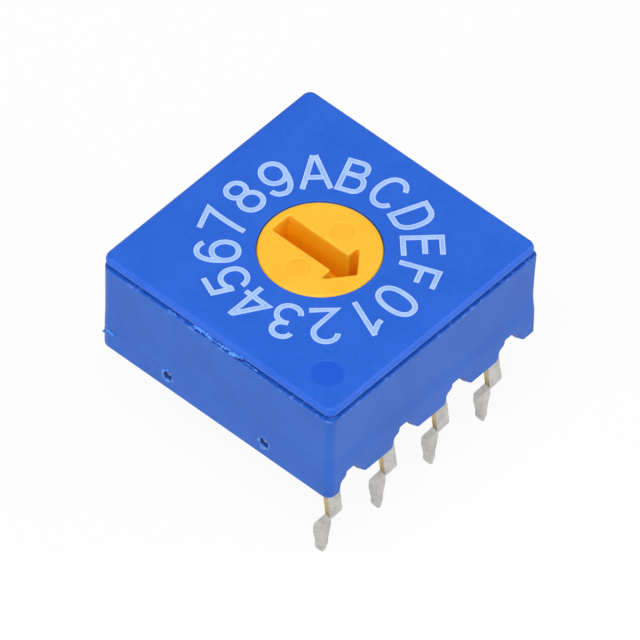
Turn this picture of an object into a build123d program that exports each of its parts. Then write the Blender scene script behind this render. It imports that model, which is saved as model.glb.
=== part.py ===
from build123d import *
import os
from math import atan2, degrees

# Rotary coded switch, 10 mm square, for a drilled circuit board. A small screwdriver turns the
# dial through sixteen clicks, and a coded disc under the dial joins four bit contacts to a common.
#
# Origin: centre of the seating plane, on the dial's axis. +Z is up, X runs along the row of the
# four bit terminals, and that row is on the -Y side. The dial points to its zero, towards -Y.

# ---- Dial and code ----
positions = 16
step = 360 / positions
bits = ("1", "2", "4", "8")

# ---- Case: one moulded housing, closed by a cover ----
body_width = 10.0  # over the rim and over the foot of the wall
body_corner = 0.3
rim_z = 3.68
waist_inset = 0.05  # the wall draws in to a waist and comes out again
waist_z = 1.75
parting_z = 0.85
cover_rise = 0.54  # the cover's top over the rim
cover_inset = 0.03
cover_corner = 0.32
cover_edge = 0.17
seam_height = 0.25  # groove between the rim and the cover's plate
seam_depth = 0.2
plug_width = 8.6  # the cover's plug, inside the wall
plug_corner = 0.8
plug_depth = 0.33
plug_clearance = 0.03
floor_z = 1.2
belly_z = 0.25
belly_length = 8.7
belly_width = 6.2
foot_inset = 0.12  # the foot on the +X side stands back below this height
foot_step_z = 0.45

# ---- Notches that let the terminals out, measured to each side from a terminal's middle ----
notch_left = 0.64
notch_step = 0.42  # to the left, above the shoulder
notch_slope = 0.04
notch_right = 0.19
notch_shoulder_z = 0.42
notch_shoulder_rise = 0.07
notch_top_z = 0.73
foot_rounding = 0.42
slot_front = 4.4  # a terminal comes down in a slot behind its notch
slot_back = 3.84
slot_top_z = 0.85
slot_clearance = 0.02

# ---- Terminals: stamped strip, moulded into the floor ----
pitch = 2.54
row_spacing = 7.62
strip = 0.25
lead_width = 0.58
plate_z = 0.5  # underside of the plates
bend_out = 0.11  # the strip turns down this far outside the lead's row
bow_out = 0.31
bow_drop = 1.15  # below the seating plane, as are the other drops
kink_out = 0.47
kink_drop = 2.08
return_drop = 2.98  # here the lead is back in its row
lead_length = 4.35
shoulder_drop = 3.3
neck_drop = 3.85
neck_width = 0.34
point_length = 0.25
point_width = 0.1
tie_y = 2.1  # stubs of the strip's tie bars, in the side walls
tie_width = 0.2
tie_recess = 0.13
tie_pocket_width = 0.36
tie_pocket_height = 0.34
tie_pocket_corner = 0.09
tie_pocket_depth = 0.18

# ---- Contacts and code disc ----
spring_strip = 0.1
track_width = 0.36
track_gap = 0.12
pad_x = 1.8
foot_length = 0.5
well_margin = 0.06
crown_length = 0.6
crown_rise = 0.11
contact_gap = 0.02
disc_thickness = 0.12
disc_key = 0.2  # depth of the flat that turns the disc

# ---- Rotor ----
rotor_radius = 2.05
rotor_edge = 0.12
flange_z = 2.2
pivot_radius = 0.6
pivot_z = 0.9
boss_wall = 0.25
spigot_inset = 0.1
spigot_rise = 0.04
notch_radius = 0.3
notch_depth = 0.15
arrow_depth = 1.5
arrow_edge = 0.06
arrow_tail = 1.72
arrow_tip = 1.6
arrow_head = 0.76
arrow_head_width = 1.92
arrow_shaft_width = 0.84
mark_sink = 0.02  # round marks left by the mould's pins
rotor_mark_x = 1.05
rotor_mark_radius = 0.42
cover_mark_x = -3.78
cover_mark_y = -3.73
cover_mark_radius = 0.57

# ---- Detent springs and seal ----
detent_strip = 0.12
detent_play = 0.04
detent_half_length = 2.7
pocket_wall = 0.65
ring_section = 0.5

# ---- Running and fitting clearances ----
running = 0.03
end_play = 0.05
window_gap = 0.05
ring_gap = 0.02
disc_fit = 0.02
pocket_fit = 0.02
cavity_clearance = 0.35

# ---- Printed characters ----
ink = 0.02
stroke = 0.19
digit_radius = 3.305  # middle of a digit, from the dial's axis
letter_radius = 3.3
digit_height = 1.54
letter_height = 1.44
character_width = 0.99

# ---- Heights and radii that follow ----
cover_z = rim_z + cover_rise
plug_z = rim_z - plug_depth
flange_top = plug_z - end_play
plate_top = plate_z + strip
disc_z = flange_z - disc_thickness
spigot_z = disc_z - spigot_rise
boss_radius = pivot_radius + running + boss_wall
spigot_radius = boss_radius - spigot_inset
tracks = ("common", "8", "1", "4", "2")  # from the axis outwards
track_pitch = track_width + track_gap
track_radius = {
    name: boss_radius + track_gap + track_width / 2 + i * track_pitch for i, name in enumerate(tracks)
}
pad_side = {name: 1 if i % 2 else -1 for i, name in enumerate(tracks)}
disc_radius = max(track_radius.values()) + track_width / 2 + track_gap
flange_radius = disc_radius + notch_depth
cavity_radius = flange_radius + cavity_clearance
groove_radius = rotor_radius + ring_gap + ring_section
pocket_x = body_width / 2 - pocket_wall
row_y = row_spacing / 2
lead_y = row_y + bend_out  # the middle of the strip where it bends down
tie_x = body_width / 2 - tie_recess
terminal_x = {name: (i - (len(bits) - 1) / 2) * pitch for i, name in enumerate(bits)}
terminal_x["common"] = terminal_x["2"]


def kinked_lead():
    """Return the lead of a terminal at x = 0 on the -Y side, from its bend to its point."""
    with BuildPart() as lead:
        with BuildSketch(Plane.YZ):
            with BuildLine():
                Polyline(
                    (strip - lead_y, plate_z + strip / 2),
                    (-lead_y, plate_z + strip / 2),
                    (-row_y - bow_out, -bow_drop),
                    (-row_y - kink_out, -kink_drop),
                    (-row_y, -return_drop),
                    (-row_y, -lead_length),
                )
            trace(line_width=strip)
        extrude(amount=lead_width / 2, both=True)
        # Seen from the front the blade tapers to a neck and ends in a point.
        with BuildSketch(Plane.XZ):
            with BuildLine():
                side = Polyline(
                    (lead_width / 2, plate_top),
                    (lead_width / 2, -shoulder_drop),
                    (neck_width / 2, -neck_drop),
                    (neck_width / 2, point_length - lead_length),
                    (point_width / 2, -lead_length),
                    (0, -lead_length),
                )
                mirror(side, about=Plane.YZ)
                Line((lead_width / 2, plate_top), (-lead_width / 2, plate_top))
            make_face()
        extrude(amount=body_width, both=True, mode=Mode.INTERSECT)
    return lead.part


def plate_routes(name):
    """Return the middle lines of a terminal's plate: the way to its pad, then its tie bars."""
    x, y = terminal_x[name], -track_radius[name]
    if name == "common":
        pad = pad_side[name] * pad_x
        way = [(x, lead_y), (x, tie_y), (pad, tie_y), (pad, y - lead_width / 2)]
        return way, [(-tie_x, tie_y), (tie_x, tie_y)]
    outward = 1 if x > 0 else -1
    if name == bits[0] or name == bits[-1]:
        way = [(x, -lead_y), (x, y), (outward * (pad_x - foot_length / 2), y)]
        return way, [(x, -tie_y), (outward * tie_x, -tie_y)]
    way = [(x, -lead_y), (x, y), (outward * (pad_x + foot_length / 2), y)]
    return way, None


def pen_line(stops, half_x, half_y):
    """Return one stroke of a character whose box reaches half_x and half_y from its middle."""
    with BuildLine() as pen:
        place = None
        for x, y, *bow in stops:
            start = end = Vector(x * half_x, y * half_y)
            if bow:
                radius, angle, turn = bow
                arc = CenterArc(start, radius * half_x, angle, turn)
                start, end = arc @ 0, arc @ 1
            if place and (start - place).length > ink:
                Line(place, start)
            place = end
    return pen.line


# ---- Terminals ----
lead_part = kinked_lead()
terminals = {}
for name in (*bits, "common"):
    way, tie = plate_routes(name)
    with BuildPart() as terminal:
        with BuildSketch(Plane.XY.offset(plate_z)):
            with BuildLine():
                Polyline(*way)
            trace(line_width=lead_width)
        extrude(amount=strip)
        if tie:
            with BuildSketch(Plane.XY.offset(plate_z)):
                with BuildLine():
                    Line(*tie)
                trace(line_width=tie_width)
            extrude(amount=strip)
        with Locations((terminal_x[name], 0, 0)):
            add(lead_part, rotation=(0, 0, 180 if name == "common" else 0))
    terminal.part.label = f"terminal_{name}"
    terminals[name] = terminal.part

# ---- Contact springs: foot on the plate, arm up to a crown under the code disc ----
contact_springs = {}
crown_z = disc_z - contact_gap - spring_strip / 2
for name in tracks:
    side = pad_side[name]
    foot_z = plate_top + spring_strip / 2
    with BuildPart() as contact:
        with BuildSketch(Plane.XZ.offset(track_radius[name])):
            with BuildLine():
                Polyline(
                    (side * (pad_x + foot_length / 2), foot_z),
                    (side * (pad_x - foot_length / 2), foot_z),
                    (side * crown_length / 2, crown_z - crown_rise),
                )
                ThreePointArc(
                    (side * crown_length / 2, crown_z - crown_rise),
                    (0, crown_z),
                    (-side * crown_length / 2, crown_z - crown_rise),
                )
            trace(line_width=spring_strip)
        extrude(amount=track_width / 2, both=True)
    contact.part.label = f"contact_spring_{name}"
    contact_springs[name] = contact.part

# ---- Detent springs: bowed strips whose noses drop into the rotor's notches ----
detent_x = flange_radius + notch_radius - notch_depth  # centre of a notch, and of a nose
nose_radius = notch_radius - detent_play - detent_strip / 2
detent_springs = {}
for name, turn in (("right", 0), ("left", 180)):
    with BuildPart() as detent:
        with BuildSketch(Plane.XY.offset(flange_z)):
            with BuildLine():
                for end in (-1, 1):
                    Line(
                        (detent_x, end * nose_radius),
                        (pocket_x - detent_strip / 2 - pocket_fit, end * detent_half_length),
                    )
                ThreePointArc(
                    (detent_x, -nose_radius), (detent_x - nose_radius, 0), (detent_x, nose_radius)
                )
            trace(line_width=detent_strip)
        extrude(amount=flange_top - flange_z)
    turned = detent.part.rotate(Axis.Z, turn)
    turned.label = f"detent_spring_{name}"
    detent_springs[name] = turned

# ---- Housing ----
flare = degrees(atan2(waist_inset, rim_z - waist_z))
foot_flare = degrees(atan2(waist_inset, waist_z - parting_z))
with BuildPart() as housing:
    waist = body_width - 2 * waist_inset
    with BuildSketch(Plane.XY.offset(waist_z)):
        RectangleRounded(waist, waist, body_corner)
    extrude(amount=rim_z - waist_z, taper=-flare)
    with BuildSketch(Plane.XY.offset(waist_z)):
        RectangleRounded(waist, waist, body_corner)
    extrude(amount=parting_z - waist_z, taper=-foot_flare)
    with BuildSketch():
        RectangleRounded(body_width, body_width, body_corner)
    extrude(amount=parting_z)

    # The underside stands clear of the board between the feet.
    with BuildSketch():
        Rectangle(belly_length, belly_width)
    extrude(amount=belly_z, mode=Mode.SUBTRACT)
    with BuildSketch():
        with Locations((body_width / 2, 0)):
            Rectangle(2 * foot_inset, body_width)
    extrude(amount=foot_step_z, mode=Mode.SUBTRACT)

    # Notches along both rows: a shoulder to the left, and a foot with a round flank to the right.
    with BuildSketch(mode=Mode.PRIVATE) as notch:
        with BuildLine():
            flank = (notch_right + foot_rounding, foot_rounding)
            Line((-notch_left, 0), (flank[0], 0))
            CenterArc(flank, foot_rounding, -90, -90)
            Polyline(
                (notch_right, foot_rounding),
                (notch_right, notch_top_z),
                (-notch_step, notch_top_z),
                (-notch_step - notch_slope, notch_shoulder_z + notch_shoulder_rise),
                (-notch_left, notch_shoulder_z),
                (-notch_left, 0),
            )
        make_face()
    for face in (-1, 1):
        with BuildSketch(Plane.XZ.offset(-face * slot_back)):
            with GridLocations(pitch, 0, len(bits), 1):
                add(notch.sketch)
        extrude(amount=-face * (body_width / 2 - slot_back), mode=Mode.SUBTRACT)
        with BuildSketch():
            with Locations((0, face * (slot_front + slot_back) / 2)):
                with GridLocations(pitch, 0, len(bits), 1):
                    Rectangle(lead_width + 2 * slot_clearance, slot_front - slot_back)
        extrude(amount=slot_top_z, mode=Mode.SUBTRACT)

    # Inside: a round cavity, the seat of the cover's plug and pockets for the detent springs.
    with BuildSketch(Plane.XY.offset(floor_z)):
        Circle(cavity_radius)
        Circle(boss_radius, mode=Mode.SUBTRACT)
    extrude(amount=rim_z - floor_z, mode=Mode.SUBTRACT)
    boss_top = spigot_z - running
    with BuildSketch(Plane.XY.offset(boss_top)):
        Circle(boss_radius)
    extrude(amount=rim_z - boss_top, mode=Mode.SUBTRACT)
    with BuildSketch(Plane.XY.offset(plug_z)):
        RectangleRounded(plug_width + 2 * plug_clearance, plug_width + 2 * plug_clearance, plug_corner)
    extrude(amount=plug_depth, mode=Mode.SUBTRACT)
    with BuildSketch(Plane.XY.offset(flange_z)):
        Rectangle(2 * pocket_x, 2 * detent_half_length + 2 * detent_strip)
    extrude(amount=plug_z - flange_z, mode=Mode.SUBTRACT)
    with BuildSketch(Plane.XY.offset(pivot_z - end_play)):
        Circle(pivot_radius + running)
    extrude(amount=rim_z - pivot_z + end_play, mode=Mode.SUBTRACT)

    # Wells in the floor bare each plate for the foot and the arm of its contact spring.
    rise = (crown_z - crown_rise - plate_top) / (pad_x - foot_length / 2 - crown_length / 2)
    arm_reach = (floor_z - plate_top + 2 * spring_strip) / rise
    for name in tracks:
        outer = pad_x + foot_length / 2 + well_margin
        inner = pad_x - foot_length / 2 - arm_reach - well_margin
        with BuildSketch(Plane.XY.offset(plate_top)):
            with Locations((pad_side[name] * (outer + inner) / 2, -track_radius[name])):
                Rectangle(outer - inner, track_width + 2 * well_margin)
        extrude(amount=floor_z - plate_top, mode=Mode.SUBTRACT)

    # The moulding closes round the terminals, and the tie bars end in pockets.
    for name in terminals:
        add(terminals[name], mode=Mode.SUBTRACT)
    for face in (-1, 1):
        with BuildSketch(Plane.YZ.offset(face * body_width / 2)):
            with GridLocations(2 * tie_y, 0, 2, 1):
                with Locations((0, plate_z + strip / 2)):
                    RectangleRounded(tie_pocket_width, tie_pocket_height, tie_pocket_corner)
        extrude(amount=-face * tie_pocket_depth, mode=Mode.SUBTRACT)
housing.part.label = "housing"

# ---- Cover ----
with BuildPart() as cover:
    plate = body_width - 2 * cover_inset
    with BuildSketch(Plane.XY.offset(rim_z + seam_height)):
        RectangleRounded(plate, plate, cover_corner)
    extrude(amount=cover_rise - seam_height)
    fillet(cover.faces().sort_by(Axis.Z)[-1].edges(), cover_edge)
    with BuildSketch(Plane.XY.offset(rim_z)):
        RectangleRounded(plate - 2 * seam_depth, plate - 2 * seam_depth, cover_corner - seam_depth)
    extrude(amount=seam_height)
    with BuildSketch(Plane.XY.offset(plug_z)):
        RectangleRounded(plug_width, plug_width, plug_corner - plug_clearance)
    extrude(amount=plug_depth)
    with BuildSketch(Plane.XY.offset(plug_z)):
        Circle(groove_radius)
    extrude(amount=ring_section, mode=Mode.SUBTRACT)
    with BuildSketch(Plane.XY.offset(plug_z)):
        Circle(rotor_radius + window_gap)
    extrude(amount=cover_z - plug_z, mode=Mode.SUBTRACT)
    with BuildSketch(Plane.XY.offset(cover_z - mark_sink)):
        with Locations((cover_mark_x, cover_mark_y)):
            Circle(cover_mark_radius)
    extrude(amount=mark_sink, mode=Mode.SUBTRACT)
cover.part.label = "cover"

# ---- Seal round the rotor's neck ----
with BuildPart() as o_ring:
    with BuildSketch(Plane.XZ):
        with Locations((groove_radius - ring_section / 2, plug_z + ring_section / 2)):
            Circle(ring_section / 2)
    revolve(axis=Axis.Z)
o_ring.part.label = "o_ring"

# ---- Rotor: neck and arrow above, notched flange inside, pivot below ----
with BuildPart() as rotor:
    with BuildSketch(Plane.XY.offset(flange_z)):
        Circle(flange_radius)
        with PolarLocations(detent_x, positions):
            Circle(notch_radius, mode=Mode.SUBTRACT)
    extrude(amount=flange_top - flange_z)
    with BuildSketch(Plane.XY.offset(flange_top)):
        Circle(rotor_radius)
    extrude(amount=cover_z - flange_top)
    fillet(rotor.faces().sort_by(Axis.Z)[-1].edges(), rotor_edge)
    with BuildSketch(Plane.XY.offset(cover_z)):
        with BuildLine():
            half = Polyline(
                (0, arrow_tail),
                (arrow_shaft_width / 2, arrow_tail),
                (arrow_shaft_width / 2, arrow_head - arrow_tip),
                (arrow_head_width / 2, arrow_head - arrow_tip),
                (0, -arrow_tip),
            )
            mirror(half, about=Plane.YZ)
        make_face()
    extrude(amount=-arrow_depth, mode=Mode.SUBTRACT)
    fillet(rotor.faces().sort_by(Axis.Z)[-1].inner_wires()[0].edges(), arrow_edge)
    with BuildSketch(Plane.XY.offset(cover_z - mark_sink)):
        with Locations((-rotor_mark_x, 0), (rotor_mark_x, 0)):
            Circle(rotor_mark_radius)
    extrude(amount=mark_sink, mode=Mode.SUBTRACT)
    with BuildSketch(Plane.XY.offset(spigot_z)):
        Circle(spigot_radius)
        with Locations((0, spigot_radius)):
            Rectangle(2 * spigot_radius, 2 * disc_key, mode=Mode.SUBTRACT)
    extrude(amount=flange_z - spigot_z)
    with BuildSketch(Plane.XY.offset(pivot_z)):
        Circle(pivot_radius)
    extrude(amount=flange_z - pivot_z)
rotor.part.label = "rotor"

# ---- Code disc: a window under each position where a bit is off ----
with BuildPart() as code_disc:
    with BuildSketch(Plane.XY.offset(disc_z)):
        Circle(disc_radius)
        Circle(spigot_radius + disc_fit, mode=Mode.SUBTRACT)
        with Locations((0, spigot_radius)):
            Rectangle(2 * spigot_radius, 2 * (disc_key - disc_fit))
        for bit in bits:
            run = int(bit) * step
            end = degrees(track_width / 2 / track_radius[bit])  # taken up by a window's round end
            window = CenterArc((0, 0), track_radius[bit], end - 90 - step / 2, run - 2 * end)
            with PolarLocations(0, positions // (2 * int(bit))):
                SlotArc(window, track_width, mode=Mode.SUBTRACT)
    extrude(amount=disc_thickness)
code_disc.part.label = "code_disc"

# ---- Printed characters ----
# Each is drawn in a box from -1 to 1 both ways, as strokes whose stops are joined by straight
# lines. A stop is a point, or a bow: (centre x, centre y, radius, start angle, turn), where the
# radius is a share of half the box's width.
characters = {
    "0": [[(0, 0.4, 1, 0, 180), (0, -0.4, 1, 180, 180), (1, 0.4)]],
    "1": [[(-0.06, -1.14), (-0.06, 1.14)], [(-1.17, 0.44), (-0.06, 0.97)]],
    "2": [[(0, 0.43, 0.96, 175, -210), (-0.95, -1), (1.2, -1)]],
    "3": [
        [(-0.05, 0.54, 0.78, 170, -260), (-0.35, 0.08)],
        [(-0.35, 0.08), (-0.02, -0.45, 0.92, 90, -265)],
    ],
    "4": [[(0.6, -1.14), (0.6, 1.1)], [(0.5, 1), (-1.05, -0.48), (1.3, -0.48)]],
    "5": [[(1, 0.96), (-0.72, 0.96), (-0.95, -0.05)], [(0, -0.42, 0.98, 150, -315)]],
    "6": [
        [(0.08, 0.42, 0.98, 20, 160), (-0.9, -0.2)],
        [(0, -0.42, 0.98, 90, 180), (0, -0.42, 0.98, 270, 180)],
    ],
    "7": [[(-1.25, 0.96), (1, 0.96), (0.28, 0.12), (-0.2, -0.6), (-0.42, -1.14)]],
    "8": [
        [(0, 0.5, 0.82, -55, 290)],
        [(0, -0.43, 0.95, 90, 180), (0, -0.43, 0.95, 270, 180)],
    ],
    "9": [
        [(-0.08, -0.42, 0.98, 200, 160), (0.9, 0.2)],
        [(0, 0.42, 0.98, 90, 180), (0, 0.42, 0.98, 270, 180)],
    ],
    "A": [
        [(-1.08, -1.12), (-0.06, 1.12)],
        [(1.12, -1.12), (0.06, 1.12)],
        [(-0.65, -0.36), (0.65, -0.36)],
    ],
    "B": [
        [(-0.9, -1.15), (-0.9, 1), (0.09, 0.55, 0.7, 90, -180)],
        [(0.12, 0.1), (-0.9, 0.1)],
        [(-0.9, 0.02), (0, -0.49, 0.8, 90, -180)],
        [(0.03, -1), (-1.13, -1)],
    ],
    "C": [[(0.08, 0.33, 1.05, 35, 145), (0.08, -0.33, 1.05, 180, 145)]],
    "D": [
        [(-0.9, -1.15), (-0.9, 1), (-0.05, 0.33, 1.05, 90, -90), (-0.05, -0.33, 1.05, 0, -90)],
        [(-0.05, -1), (-1.13, -1)],
    ],
    "E": [[(0.95, 1), (-0.9, 1), (-0.9, -1), (0.95, -1)], [(-0.9, 0.08), (0.8, 0.08)]],
    "F": [[(0.85, 1), (-0.87, 1), (-0.87, -1.15)], [(-0.87, 0.05), (0.6, 0.05)]],
}
with BuildPart() as dial_marks:
    for i, (name, strokes) in enumerate(characters.items()):
        middle = digit_radius if name.isdigit() else letter_radius
        height = digit_height if name.isdigit() else letter_height
        upright = Location((0, 0, cover_z), (0, 0, 180 - i * step)) * Location((0, middle, 0))
        with BuildSketch(Plane(upright)):
            for stops in strokes:
                trace(pen_line(stops, (character_width - stroke) / 2, (height - stroke) / 2), stroke)
        extrude(amount=ink)
dial_marks.part.label = "dial_marks"

os.makedirs("parts", exist_ok=True)
for part in (
    housing.part,
    cover.part,
    o_ring.part,
    rotor.part,
    code_disc.part,
    *terminals.values(),
    *contact_springs.values(),
    *detent_springs.values(),
    dial_marks.part,
):
    export_step(part, f"parts/{part.label}.step")
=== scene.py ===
"""Rotary coded switch, 10 mm square, with its moulded case, lettered cover, arrow dial and leads.

The parts are shaped in millimetres and made metres as the last step of each piece. The origin is
the centre of the seating plane, +Z runs up the dial's axis, X runs along the row of four leads,
and that row stands on the -Y side.
"""

import logging
import math
from dataclasses import dataclass
from enum import Enum
from typing import Any, Optional, Sequence, Union

import bmesh
import bpy
from mathutils import Matrix, Vector


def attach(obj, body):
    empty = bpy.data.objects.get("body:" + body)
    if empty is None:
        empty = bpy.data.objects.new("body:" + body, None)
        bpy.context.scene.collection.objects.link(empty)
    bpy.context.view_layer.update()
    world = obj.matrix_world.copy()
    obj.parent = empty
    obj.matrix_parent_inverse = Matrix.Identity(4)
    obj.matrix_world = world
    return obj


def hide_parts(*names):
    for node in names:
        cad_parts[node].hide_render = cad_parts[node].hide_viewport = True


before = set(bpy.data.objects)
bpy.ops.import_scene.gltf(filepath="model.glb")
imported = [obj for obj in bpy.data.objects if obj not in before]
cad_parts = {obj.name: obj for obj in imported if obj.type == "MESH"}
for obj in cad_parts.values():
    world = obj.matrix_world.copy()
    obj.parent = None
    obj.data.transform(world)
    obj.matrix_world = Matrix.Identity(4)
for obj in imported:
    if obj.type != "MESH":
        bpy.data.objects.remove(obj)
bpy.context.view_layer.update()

log = logging.getLogger("coded switch")
MM = 0.001
Point = tuple[float, float]
Triple = tuple[float, float, float]
Colour = Triple
Outline = Sequence[Point]
Values = dict[Union[str, int], Any]
Object = bpy.types.Object
Material = bpy.types.Material
BMesh = bmesh.types.BMesh


class Body(Enum):
    """The two bodies that pieces ride on."""

    CASE = "case"
    DIAL = "dial"


class Slot(Enum):
    """The record's material slots of the pieces made here."""

    HOUSING = "housing"
    COVER = "cover"
    INK = "ink"
    ROTOR = "rotor"
    TIN = "tin"


# ---------------------------------------------------------------- nodes


class Term:
    """A node's output socket that takes part in sums written as Python expressions."""

    def __init__(self, net: "Net", socket: bpy.types.NodeSocket) -> None:
        """Keep the output socket and the net that its node is in."""
        self.net, self.socket = net, socket

    def __add__(self, other: "Number") -> "Term":
        """Return self + other."""
        return self.net.math("ADD", self, other)

    def __sub__(self, other: "Number") -> "Term":
        """Return self - other."""
        return self.net.math("SUBTRACT", self, other)

    def __mul__(self, other: "Number") -> "Term":
        """Return self * other."""
        return self.net.math("MULTIPLY", self, other)


Number = Union[Term, float]


class Net:
    """A node tree with one method that adds any node, and short forms of the common ones."""

    def __init__(self, tree: bpy.types.NodeTree) -> None:
        """Start on a shader or geometry tree, which is emptied."""
        self.tree = tree
        tree.nodes.clear()

    def node(
        self,
        kind: str,
        sockets: Optional[Values] = None,
        settings: Optional[Values] = None,
        output: Union[str, int] = 0,
    ) -> Term:
        """Add a node.

        Args:
            kind: The node's type.
            sockets: Values or Terms for its inputs, by name or place; a list goes into one input.
            settings: Its own properties, set first.
            output: The output that is returned.

        Returns:
            The chosen output.
        """
        made = self.tree.nodes.new(kind)
        for name, value in (settings or {}).items():
            setattr(made, name, value)
        for name, value in (sockets or {}).items():
            for part in value if isinstance(value, list) else [value]:
                if isinstance(part, Term):
                    self.tree.links.new(part.socket, made.inputs[name])
                else:
                    made.inputs[name].default_value = part
        return Term(self, made.outputs[output] if len(made.outputs) else None)

    def math(self, operation: str, first: Number, second: Number = 0.0) -> Term:
        """Add a Math node on two numbers."""
        return self.node("ShaderNodeMath", {0: first, 1: second}, {"operation": operation})

    def vector(self, operation: str, first: Any, second: Any) -> Term:
        """Add a Vector Math node on two vectors."""
        return self.node("ShaderNodeVectorMath", {0: first, 1: second}, {"operation": operation})

    def scaled(self, vector: Term, factor: Number) -> Term:
        """Multiply a vector by a number."""
        return self.node("ShaderNodeVectorMath", {0: vector, "Scale": factor}, {"operation": "SCALE"})

    def along(self, vector: Term, axis: str) -> Term:
        """Return a vector's part along X, Y or Z."""
        return self.node("ShaderNodeSeparateXYZ", {"Vector": vector}, output=axis)

    def xyz(self, **parts: Number) -> Term:
        """Put a vector together from its X, Y and Z."""
        return self.node("ShaderNodeCombineXYZ", dict(parts))

    def ease(self, value: Term, start: float, end: float, low: float = 0.0, high: float = 1.0) -> Term:
        """Bring a number from one range into another, smoothly and held at the ends."""
        sockets = {"Value": value, 1: start, 2: end, 3: low, 4: high}
        return self.node("ShaderNodeMapRange", sockets, {"interpolation_type": "SMOOTHSTEP"})

    def blend(self, factor: Number, first: Any, second: Any) -> Term:
        """Mix two colours."""
        first, second = (c if isinstance(c, Term) else (*c, 1) for c in (first, second))
        return self.node("ShaderNodeMix", {0: factor, 6: first, 7: second}, {"data_type": "RGBA"}, 2)

    def noise(self, place: Term, scale: float, detail: float = 3, stretch: Triple = (1, 1, 1)) -> Term:
        """Add a noise pattern.

        Args:
            place: The point, in millimetres.
            scale: How many lumps to a millimetre, roughly.
            detail: Octaves.
            stretch: How much denser the pattern is along each axis.

        Returns:
            The noise, around 0.5.
        """
        if stretch != (1, 1, 1):
            place = self.vector("MULTIPLY", place, stretch)
        return self.node("ShaderNodeTexNoise", {"Vector": place, "Scale": scale, "Detail": detail})

    def shown(self) -> Term:
        """Return 1 for rays from the camera and from shiny or clear surfaces, and else 0."""
        kinds = ("Camera", "Glossy", "Transmission")
        rays = [self.node("ShaderNodeLightPath", output=f"Is {kind} Ray") for kind in kinds]
        return self.math("MINIMUM", rays[0] + rays[1] + rays[2], 1.0)


class GeometryTree(Net):
    """A Geometry Nodes tree with named inputs, whose result is taken as a plain mesh."""

    def __init__(self, name: str) -> None:
        """Start an empty tree of that name."""
        super().__init__(bpy.data.node_groups.new(name, "GeometryNodeTree"))
        self.tree.is_modifier = True
        for way in ("OUTPUT", "INPUT"):
            self.tree.interface.new_socket("Geometry", in_out=way, socket_type="NodeSocketGeometry")
        self.entry = self.tree.nodes.new("NodeGroupInput")
        self.identifiers: dict[str, str] = {}

    def given(self, name: str, kind: str = "Float") -> Term:
        """Add a named input, such as a size.

        Args:
            name: The input's name.
            kind: The socket's type without its prefix.

        Returns:
            The input, for use in the tree.
        """
        socket = self.tree.interface.new_socket(name, in_out="INPUT", socket_type=f"NodeSocket{kind}")
        self.identifiers[name] = socket.identifier
        return Term(self, self.entry.outputs[name])

    def shape(self, name: str) -> Term:
        """Return the shape of an object that is a named input."""
        return self.node("GeometryNodeObjectInfo", {"Object": self.given(name, "Object")}, output="Geometry")

    def row(self, **place: Number) -> Term:
        """Return points along X with their middle at x = 0, by the inputs Count and Pitch.

        Args:
            place: Y and Z of the row.
        """
        pitch, count = self.given("Pitch"), self.given("Count", "Int")
        start = self.xyz(X=(count - 1) * pitch * -0.5, **place)
        sockets = {"Count": count, "Start Location": start, "Offset": self.xyz(X=pitch)}
        return self.node("GeometryNodeMeshLine", sockets, {"mode": "OFFSET"})

    def copies(self, points: Term, piece: Term, **more: Any) -> Term:
        """Set copies of a piece on points, with a Rotation and Scale if they are given."""
        return self.node("GeometryNodeInstanceOnPoints", {"Points": points, "Instance": piece, **more})

    def finish(self, geometry: Term) -> None:
        """Realise the instances, set the material and close the tree."""
        whole = self.node("GeometryNodeRealizeInstances", {"Geometry": geometry})
        sockets = {"Geometry": whole, "Material": self.given("Material", "Material")}
        self.node("NodeGroupOutput", {"Geometry": self.node("GeometryNodeSetMaterial", sockets)})

    def run(self, piece: Object, finish: Material, values: dict[str, Any]) -> Object:
        """Run the tree on an object and keep the result as its plain mesh.

        Args:
            piece: The object whose data the tree starts from.
            finish: The material that the tree sets.
            values: A value for each other named input.

        Returns:
            A new mesh object of the same name.
        """
        modifier = piece.modifiers.new("tree", "NODES")
        modifier.node_group = self.tree
        for name, value in {**values, "Material": finish}.items():
            modifier[self.identifiers[name]] = value
        name = piece.name
        mesh = Bench.evaluated(piece)
        bpy.data.objects.remove(piece)
        return Bench.place(name, mesh)


# ---------------------------------------------------------------- meshes


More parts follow.
